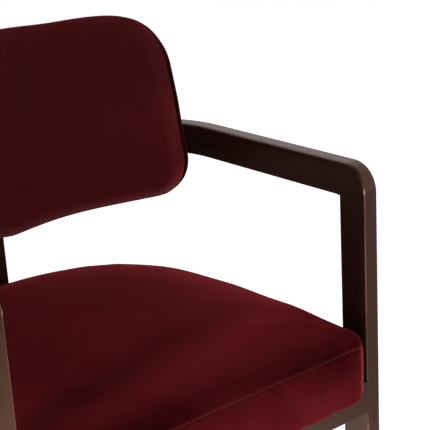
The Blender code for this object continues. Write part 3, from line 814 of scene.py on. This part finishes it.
def seat_nap_and_light(plan, depth):
    """Painted light and shade on the seat's top, over the pile's tone, from 0, dark, to 1, pale.

    A pale stroke of painted light crosses the front at a slant, with a dark stroke of painted shade behind
    it. The top is paler to the sitter's left and towards the rear as painted light, with painted sheen along
    the rear and side edges, and painted shade darkens it beside the front seam and at the front to the
    sitter's right.
    """
    x, y = plan.T
    slant = y - FRONT - 0.25 * x
    # Painted light and shade in strokes across the front
    pale = 0.23 * hump(slant, 0.0555, 0.032) * (0.45 + 0.55 * smooth(x, -0.16, 0.12))
    dark = 0.21 * hump(slant, 0.1155, 0.030) * (1 - 0.75 * smooth(x, -0.10, 0.10))
    # Painted sheen along the rear and side edges
    edge = 0.38 * fade(depth, 0.09) * smooth(slant, 0.05, 0.12)
    # Painted shade beside the front seam
    close = (1 - np.clip((y - FRONT + SEAT_OVERHANG) / 0.045, 0, 1)) ** 1.5
    seam = (0.26 + 0.26 * smooth(x, 0.0, 0.18)) * close
    # Painted shade at the front, to the sitter's right
    painted_shade = 0.19 * smooth(-x, -0.02, 0.10) * hump(slant, 0.02, 0.06)
    # Painted light towards the rear and the sitter's left, painted shade at the front to the sitter's right
    rear = 0.07 * smooth(y, 0.06, 0.20)
    sides = 0.10 * smooth(x, -0.02, 0.22) - 0.06 * smooth(-x, 0.02, 0.14) * (1 - smooth(y, -0.10, 0.05))
    return 0.45 + pale - dark + edge - seam - painted_shade + rear + sides


def seat_lumps(plan):
    """Height that uneven stuffing adds along the seat's sides: two humps with a hollow between them."""
    y = plan[:, 1]
    return 0.0020 * hump(y, 0.185, 0.04) - 0.0054 * hump(y, 0.045, 0.052) + 0.0034 * hump(y, -0.150, 0.045)


def front_share(plan):
    """1 along the seat's front, falling to 0 along its sides."""
    return 1 - smooth(plan[:, 1], FRONT - 0.010, FRONT + 0.02)


def boxing_nap_and_light(plan, share):
    """Painted light and shade on the seat's boxing: paler down it as painted light from below, paler at its
    front corners as painted sheen, and darker near the seam at its left end as painted shade.
    """
    x = plan[:, 0]
    front = front_share(plan)
    # Painted shade near the seam at the sitter's left end
    painted_shade = hump(x, 0.196, 0.050) * smooth(share, 0.15, 0.85)
    # Painted sheen where the boxing turns round its front corners
    corner = smooth(np.abs(x), 0.231, 0.243) * front
    crease = smooth(np.abs(x), 0.2425, 0.2458) * front
    turned = smooth(np.abs(x), 0.229, 0.240) * front
    pale = 0.26 * corner + 0.22 * crease + 0.22 * turned
    # Painted light from below, paler down the front
    return 0.170 + 0.11 * (1 - share) * front - 0.15 * painted_shade * front + pale


def seat_cover():
    """Boxing rows from the folded hem up to the seam, rim rows over the shoulder, then the crowned top.

    The rows stand in from the outline by an inset. Above the seam the top panel bellies out by a sine before
    its shoulder turns in as a quarter ellipse. Painted sheen, in the thread's colour, lies along the boxing's
    front corners.
    """
    loop, normal = seat_loop()
    count = len(loop)
    length = length_along(loop)
    lip = SEAT_LIP * np.clip((FRONT - loop[:, 1] - 0.003) / 0.008, 0, 1)
    lip = lip * (1 - 0.45 * smooth(np.abs(loop[:, 0]), 0.222, 0.246))
    rows = [(SEAT_RETURN, 0.0), (0.0033, 0.0), (0.0016, 0.0004), (0.0007, 0.0017), (0.0002, 0.0046)]
    boxing = SEAM_HEIGHT - SEAT_BASE
    for share in np.linspace(0.16, 0.88, 9):
        rows.append((0.0004 - 0.0008 * math.sin(math.pi * share), boxing * share))
    rows += [(0.0001, boxing - 0.0032), (0.0008, boxing - 0.0013), (0.0015, boxing - 0.0005)]
    rows.append((SEAM_INSET, boxing))
    seam_row = len(rows) - 1
    for turn in (2, 5, 10, 17, 26, 37, 50, 64, 82):
        belly = 0.0008 * math.sin(math.pi * min(turn / 28, 1))
        inset = SEAM_INSET + SEAT_RIM * (1 - math.cos(math.radians(turn))) - belly
        rows.append((inset, boxing + SEAT_SHOULDER * math.sin(math.radians(turn))))
    rings = []
    rows_nap_and_light = []
    for inset, height in rows:
        hang = lip * max(0.0, 1 - height / boxing) ** 1.2
        wave = waver(length, 0.017, 0.0005, 0.4) if abs(height - boxing) < 0.004 else 0.0
        if height < 0.01:
            wave = waver(length, 0.010, 0.0022, 2.1) * lip / SEAT_LIP
        z = np.full(count, SEAT_BASE + height) - hang + wave
        ring = loop - inset * normal
        z = z + seat_lumps(ring) * max(0.0, (height - boxing) / SEAT_SHOULDER)
        rings.append(np.column_stack([ring, z]))
        rows_nap_and_light.append(seat_nap_and_light(ring, np.zeros(count)) if height > boxing else boxing_nap_and_light(ring, height / boxing))
    points = np.concatenate(rings)
    inner = (len(rows) - 1) * count
    grid = patch_index(inner, len(points), SEAT_ACROSS, SEAT_UP)
    plan = coons(rings[-1][:, :2], SEAT_ACROSS, SEAT_UP)[1:-1, 1:-1].reshape(-1, 2)
    depth = edge_distance(plan, rings[-1][:, :2])
    crown = (SEAT_CROWN - SEAT_SHOULDER) * (1 - fade(depth, SEAT_CROWN_REACH))
    lumps = seat_lumps(plan) * fade(depth, SEAT_LUMP_REACH)
    top = np.column_stack([plan, SEAM_HEIGHT + SEAT_SHOULDER + crown + lumps])
    points = np.concatenate([points, top])
    quads = np.concatenate([tube_quads(len(rows), count), grid_quads(grid)])
    seam = np.zeros(len(points))
    # Painted sheen along the boxing's front corners, in the thread's colour
    painted_rim_sheen = 1.25 * smooth(np.abs(loop[:, 0]), 0.232, 0.2445) * front_share(loop)
    seam[: seam_row * count] = np.tile(painted_rim_sheen, seam_row)
    seam[seam_row * count : (seam_row + 1) * count] = SEAT_THREAD
    nap_and_light = np.concatenate(rows_nap_and_light + [seat_nap_and_light(plan, depth)])
    made = skin("seat_velvet", points, quads, attributes={"seam": seam, "nap_and_light": nap_and_light}, facing=(0, 0, 1))
    held = np.zeros(len(points), bool)
    held[: 4 * count] = True
    held[(seam_row - 1) * count : (seam_row + 4) * count] = True
    swell(made, held, SEAT_PRESSURE)
    upholster(made, VELVET_THICKNESS)
    dress(made, VELVET_FINISH, "velvet", "seat_cover", "seat_foam")


def dust_cloth():
    """Black cloth held under the seat board: the seat's outline, drawn in, sagging a little in the middle."""
    loop, normal = seat_loop()
    loop = loop - DUST_CLOTH_INSET * normal
    plan = coons(loop, SEAT_ACROSS, SEAT_UP)[1:-1, 1:-1].reshape(-1, 2)
    depth = edge_distance(plan, loop)
    sag = DUST_CLOTH_SAG * np.square(np.clip((depth - 0.03) / 0.19, 0, 1))
    rim = np.column_stack([loop, np.full(len(loop), DUST_CLOTH_LOW)])
    points = np.concatenate([rim, np.column_stack([plan, DUST_CLOTH_LOW - sag])])
    quads = grid_quads(patch_index(0, len(loop), SEAT_ACROSS, SEAT_UP))
    made = skin("dust_cloth_black", points, quads, facing=(0, 0, -1))
    cloth = made.modifiers.new("cloth", "SOLIDIFY")
    cloth.thickness = DUST_CLOTH_THICKNESS
    cloth.offset = -1
    dress(made, CLOTH_FINISH, "black_cloth", "dust_cloth")


PAD_ACROSS = 96
PAD_UP = 46


def pad_place(flat, depth):
    """From the pad laid flat to the chair: round a cylinder that leans back, and outside it by the depth."""
    angle = flat[:, 0] / PAD_RADIUS
    out = PAD_RADIUS + depth
    backward = out * np.cos(angle)
    lean = math.sin(PAD_TILT)
    level = math.cos(PAD_TILT)
    y = backward * level + flat[:, 1] * lean
    z = flat[:, 1] * level - backward * lean
    return PAD_CENTRE + np.column_stack([out * np.sin(angle), y, z])


def pad_loop():
    """The pad laid flat: round corners, larger above than below, with the top and bottom edges swelling.

    The sewn edges waver. The lower one follows a cosine whose waves lengthen away from the middle, and the
    upper one rises at the middle and dips before the corners. The pad is a little wider above than below.
    """
    side = PAD_HALF
    high = PAD_TOP_CORNER
    low = PAD_BOTTOM_CORNER
    middle = (PAD_RISE - PAD_DROP) / 2
    half = (PAD_RISE + PAD_DROP) / 2

    def corner(x, top, first):
        size = high if top else low
        centre = (x * (side - size), PAD_RISE - size if top else size - PAD_DROP)
        return along_arc(centre, (size, size), first, first + 45, 24)

    def line(*parts):
        dense = np.concatenate([evenly(np.concatenate(pair), 40) for pair in zip(parts, parts[1:])])
        away = np.abs(dense[:, 0])
        rise = (dense[:, 1] - middle) / half
        swelling = PAD_BOW * (1 - np.square(dense[:, 0] / side)) * rise
        upper = 0.0026 * (1 - smooth(away, 0.06, 0.125)) - 0.0030 * hump(away, 0.214, 0.030)
        lower = -0.0032 * np.cos(14.85 * away**0.676)
        sewn = upper * smooth(rise, 0.2, 0.9) + lower * smooth(-rise, 0.2, 0.9)
        wide = 0.9995 + 0.0075 * smooth(rise, 0.60, 0.95) - 0.0095 * smooth(-rise, -0.05, 0.50)
        return np.column_stack([dense[:, 0] * wide, dense[:, 1] + swelling + sewn])

    front = line(corner(-1, False, 225), corner(1, False, 270))
    left = line(corner(1, False, 315), corner(1, True, 0))
    rear = line(corner(1, True, 45), corner(-1, True, 90))
    right = line(corner(-1, True, 135), corner(-1, False, 180))
    return loop_of((front, left, rear, right), (PAD_ACROSS, PAD_UP, PAD_ACROSS, PAD_UP))


def pad_nap_and_light(flat, depth):
    """Painted light and shade on the pad: paler along its edges as painted sheen, most the lower one, paler
    towards its ends and low down as painted light, darker at its side edges and high up as painted shade.
    """
    along, up = flat.T
    away = np.abs(along)
    # Painted sheen near the edges, painted shade at the sides and high up, painted light at the ends and low
    # down
    edge = fade(depth, 0.024)
    rim = 0.16 * smooth(up, 0.13, 0.19) + 0.12 * smooth(-up, 0.0, 0.04)
    side = 0.17 * fade(depth, 0.016) * smooth(away, 0.20, 0.25)
    height = 0.05 * smooth(-up, 0.0, 0.05) - 0.08 * smooth(up, 0.04, 0.13)
    height = height + 0.04 * smooth(away, 0.06, 0.18) * hump(up, 0.02, 0.06)
    ends = 0.14 * smooth(away, 0.02, 0.24) + 0.08 * smooth(away, 0.23, 0.27) * hump(up, 0.05, 0.08)
    lower = 0.55 * smooth(along, -0.02, 0.14) * smooth(-up, 0.0, 0.04) * fade(depth, 0.015)
    return 0.240 + rim * edge - side + height + ends + lower


def band_shade_and_sheen(flat):
    """The pad's edge band: nearly black as painted shade, and paler along the top as painted sheen."""
    return 0.30 * smooth(flat[:, 1], 0.12, 0.19) + 0.03


def pad_cover(name, rows, face, facing, band_rows, seam_row, held_rows, tuck, nodes):
    """A cover of the pad: rows round its edge as (inset, depth), then a face at depths by edge distance.

    The first rows are its edge band. The rows are tucked in further at the pad's ends, by the square of the
    outline's sideways normal. The thread's colour dulls the pile evenly, except on the band, with painted
    sheen near the edges, most towards the lower edge. A cover with held rows is swelled.
    """
    loop, normal = pad_loop()
    count = len(loop)
    length = length_along(loop)
    rings = []
    rows_nap_and_light = []
    for number, (inset, depth) in enumerate(rows):
        wave = waver(length, 0.015, 0.0004, 1.1) if number == seam_row else 0.0
        drawn = inset + tuck * np.square(normal[:, :1]) * max(0.0, 1 - inset / PAD_RIM)
        flat = loop - drawn * normal
        rings.append(pad_place(flat, depth + wave))
        rows_nap_and_light.append(band_shade_and_sheen(flat) if number < band_rows else pad_nap_and_light(flat, np.full(count, inset)))
    inset = rows[-1][0]
    plan = coons(loop - inset * normal, PAD_ACROSS, PAD_UP)[1:-1, 1:-1].reshape(-1, 2)
    depth = edge_distance(plan, loop - inset * normal)
    points = np.concatenate(rings + [pad_place(plan, face(depth))])
    grid = patch_index((len(rows) - 1) * count, len(rows) * count, PAD_ACROSS, PAD_UP)
    quads = np.concatenate([tube_quads(len(rows), count), grid_quads(grid)])
    insets = np.concatenate([np.full(count, row[0]) for row in rows] + [depth + inset])
    ups = np.concatenate([loop[:, 1]] * len(rows) + [plan[:, 1]])
    # Painted sheen along the pad's lower edge, and paler near all edges, in the thread's colour
    painted_rim_sheen = 1.50 * smooth(-ups, 0.030, 0.055) * fade(insets, 0.014)
    seam = 0.22 + 0.10 * fade(insets, 0.030) + painted_rim_sheen
    seam[: band_rows * count] = 0.0
    seam[seam_row * count : (seam_row + 1) * count] = PAD_THREAD
    nap_and_light = np.concatenate(rows_nap_and_light + [pad_nap_and_light(plan, depth + inset)])
    held = np.zeros(len(points), bool)
    for number in held_rows:
        held[number * count : (number + 1) * count] = True
    made = skin(name, points, quads, attributes={"seam": seam, "nap_and_light": nap_and_light}, facing=facing)
    if held_rows:
        swell(made, held, PAD_PRESSURE)
    upholster(made, VELVET_THICKNESS)
    dress(made, VELVET_FINISH, "velvet", *nodes)


def back_covers():
    """The front cover rolls out of the seam over a shoulder. The rear one is a band, a taper and a back."""
    rim = [(0.0062, 0.0004), (0.0032, 0.0002), (0.0008, -0.0002), (-0.0006, -0.0012), (-0.0010, -0.0035)]
    rim += [(-0.0002, -0.0062), (0.0018, -0.0090), (0.0050, -0.0115), (0.0092, -0.0136), (0.0144, -0.0152)]
    rim += [(0.0196, -0.0162), (0.0239, -0.0165)]

    def crowned(depth):
        swelling = (PAD_CROWN - PAD_SHOULDER) * (1 - fade(depth, PAD_CROWN_REACH))
        return rim[-1][1] - swelling

    def level(depth):
        return np.full(len(depth), PAD_BACK)

    pad_cover(
        "back_front_velvet",
        rim,
        crowned,
        facing=(0, -1, 0),
        band_rows=3,
        seam_row=3,
        held_rows=(0, 1, 2, 3),
        tuck=0.0028,
        nodes=("back_cover_front", "back_foam"),
    )
    band = [(0.0085, 0.0006), (0.0050, 0.0007), (0.0022, 0.0012), (0.0005, 0.0030), (0.0, PAD_EDGE / 2)]
    band += [(0.0004, PAD_EDGE - 0.0022), (0.0020, PAD_EDGE), (0.0080, PAD_EDGE + 0.0044)]
    band += [(PAD_TAPER, PAD_BACK - 0.0007), (PAD_TAPER + 0.003, PAD_BACK)]
    pad_cover(
        "back_rear_velvet",
        band,
        level,
        facing=(0, 1, 0),
        band_rows=7,
        seam_row=6,
        held_rows=(),
        tuck=0.0,
        nodes=("back_cover_rear",),
    )


# Fixings
def turned(name, profile, at, sides=48):
    """A solid turned about the upright through a place, from a profile of radius and height."""
    angle = np.linspace(0, 2 * math.pi, sides, endpoint=False)
    rings = []
    for radius, height in profile:
        level = np.full(sides, height)
        rings.append(np.column_stack([radius * np.cos(angle), radius * np.sin(angle), level]))
    points = np.concatenate(rings) + np.array(at)
    ends = [range(sides)[::-1], range((len(profile) - 1) * sides, len(profile) * sides)]
    made = skin(name, points, tube_quads(len(profile), sides), ends)
    edges = made.modifiers.new("edges", "EDGE_SPLIT")
    edges.split_angle = math.radians(40)
    return made


def glides():
    """Moulded glides: flat discs with a rounded lower edge."""
    profile = [(0.0072, 0.0), (0.0080, 0.0002), (0.0087, 0.0008)]
    profile += [(0.0090, 0.0017), (0.0090, 0.0036), (0.0085, 0.0041)]
    for end in ("front", "rear"):
        for side in ("left", "right"):
            low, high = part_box(f"{end}_glide_{side}")
            at = ((low.x + high.x) / 2, (low.y + high.y) / 2, 0)
            made = turned(f"{end}_foot_{side}", profile, at)
            dress(made, NYLON_FINISH, "nylon", f"{end}_glide_{side}")


def plain_nodes():
    """Materials for the solids that stay as they are, by a word in the name. The last word that fits wins."""
    looks = {"block": BARE_FINISH, "dowel": BARE_FINISH, "bolt": STEEL_FINISH, "screw": STEEL_FINISH}
    looks.update({"seat_board": PLY_FINISH, "back_shell": PLY_FINISH, "back_block": BLOCK_FINISH})
    for name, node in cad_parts.items():
        for word, look in looks.items():
            if word in name:
                node.data.materials.clear()
                node.data.materials.append(look)


# Stage
def floor():
    """A white floor that glows round the chair as a lit sweep does, most in front of it.

    To the eye it is plain white, and clear from below. Boards mirror its glow at low angles more than at
    steep ones.
    """
    mesh = bpy.data.meshes.new("floor")
    corners = [(-30, -30, 0), (30, -30, 0), (30, 30, 0), (-30, 30, 0)]
    mesh.from_pydata(corners, [], [(0, 1, 2, 3)])
    made = bpy.data.objects.new("floor", mesh)
    bpy.context.scene.collection.objects.link(made)

    def white(start):
        place = start.place()

        def measure(operation, other):
            sockets = {0: place, 1: other}
            return start.node("ShaderNodeVectorMath", {"operation": operation}, sockets, output="Value")

        level = 0.036 + measure("DISTANCE", (-0.25, -0.50, 0)).ramp(1.15, 0.35) * 0.685
        level = level + measure("DOT_PRODUCT", (0.6, -0.8, 0)).ramp(0.9, 1.6) * 0.10
        level = level + measure("DISTANCE", (0.05, -0.98, 0)).ramp(0.58, 0.15) * 0.46
        level = level + measure("DISTANCE", (-1.15, -1.75, 0)).ramp(0.90, 0.20) * 0.40
        mirrored = start.node("ShaderNodeLightPath", output="Is Glossy Ray")
        steep = start.node("ShaderNodeLayerWeight", {}, {"Blend": 0.5}, output="Facing").ramp(0.50, 0.20)
        glow = (level * (1 - mirrored * steep * 0.8)).blend(rgb(0, 0, 0), rgb(1, 1, 1))
        seen = start.node("ShaderNodeLightPath", output="Is Camera Ray")
        below = start.node("ShaderNodeNewGeometry", output="Backfacing")
        return {
            "Base Color": rgb(0.30, 0.30, 0.30),
            "Roughness": 0.9,
            "Specular IOR Level": 0.0,
            "Emission Color": seen.blend(glow, rgb(0.267, 0.267, 0.267)),
            "Emission Strength": 3.6,
            "Alpha": 1 - below,
        }

    mesh.materials.append(finish("floor_white", white))


def panel(name, at, target, size, power, mirrored_only=False):
    """A soft rectangular light that faces its target. It can be there for the reflections alone."""
    light = bpy.data.lights.new(name, "AREA")
    light.shape = "RECTANGLE"
    light.size, light.size_y = size
    light.energy = power
    made = bpy.data.objects.new(name, light)
    made.location = at
    made.rotation_euler = (Vector(target) - Vector(at)).to_track_quat("-Z", "Y").to_euler()
    made.visible_camera = False
    made.visible_diffuse = not mirrored_only
    bpy.context.scene.collection.objects.link(made)


def studio():
    floor()
    panel("front", (-0.9, -2.6, 0.80), (0, 0, 0.6), (3.0, 1.4), 19)
    panel("right", (2.8, -1.9, 1.8), (0, -0.2, 0.6), (3.2, 3.6), 50)
    panel("overhead", (0.6, 1.3, 3.0), (0.1, 0, 0.4), (2.2, 2.2), 27)
    panel("rear", (2.2, 2.9, 2.3), (0, 0, 0.6), (5.0, 3.4), 42)
    panel("nose", (2.4, 0.2, 2.7), (0.27, -0.25, 0.65), (1.8, 1.5), 8, mirrored_only=True)
    world = bpy.data.worlds.new("studio")
    world.use_nodes = True
    start = Wire(world.node_tree)
    world.node_tree.nodes.clear()
    seen = start.node("ShaderNodeLightPath", output="Is Camera Ray")
    light = start.node("ShaderNodeBackground", {}, {"Color": rgb(1, 1, 1), "Strength": 0.10 + seen * 0.90})
    start.node("ShaderNodeOutputWorld", {}, {"Surface": light})
    bpy.context.scene.world = world
    bpy.context.scene.view_settings.view_transform = "Standard"


def camera():
    """The photograph's view, from the measured heading, dip and roll."""
    level_ahead = Vector((math.sin(CAMERA_HEADING), math.cos(CAMERA_HEADING), 0))
    right = Vector((math.cos(CAMERA_HEADING), -math.sin(CAMERA_HEADING), 0))
    ahead = math.cos(CAMERA_DIP) * level_ahead - Vector((0, 0, math.sin(CAMERA_DIP)))
    up = right.cross(ahead)
    rolled_right = math.cos(CAMERA_ROLL) * right + math.sin(CAMERA_ROLL) * up
    rolled_up = math.cos(CAMERA_ROLL) * up - math.sin(CAMERA_ROLL) * right
    data = bpy.data.cameras.new("camera")
    data.lens = CAMERA_LENS
    data.sensor_width = CAMERA_SENSOR
    made = bpy.data.objects.new("camera", data)
    turn = Matrix((rolled_right, rolled_up, -ahead)).transposed().to_4x4()
    made.matrix_world = Matrix.Translation(CAMERA_PLACE) @ turn
    bpy.context.scene.collection.objects.link(made)
    bpy.context.scene.camera = made


camera()
studio()
boards()
seat_cover()
dust_cloth()
back_covers()
glides()
plain_nodes()
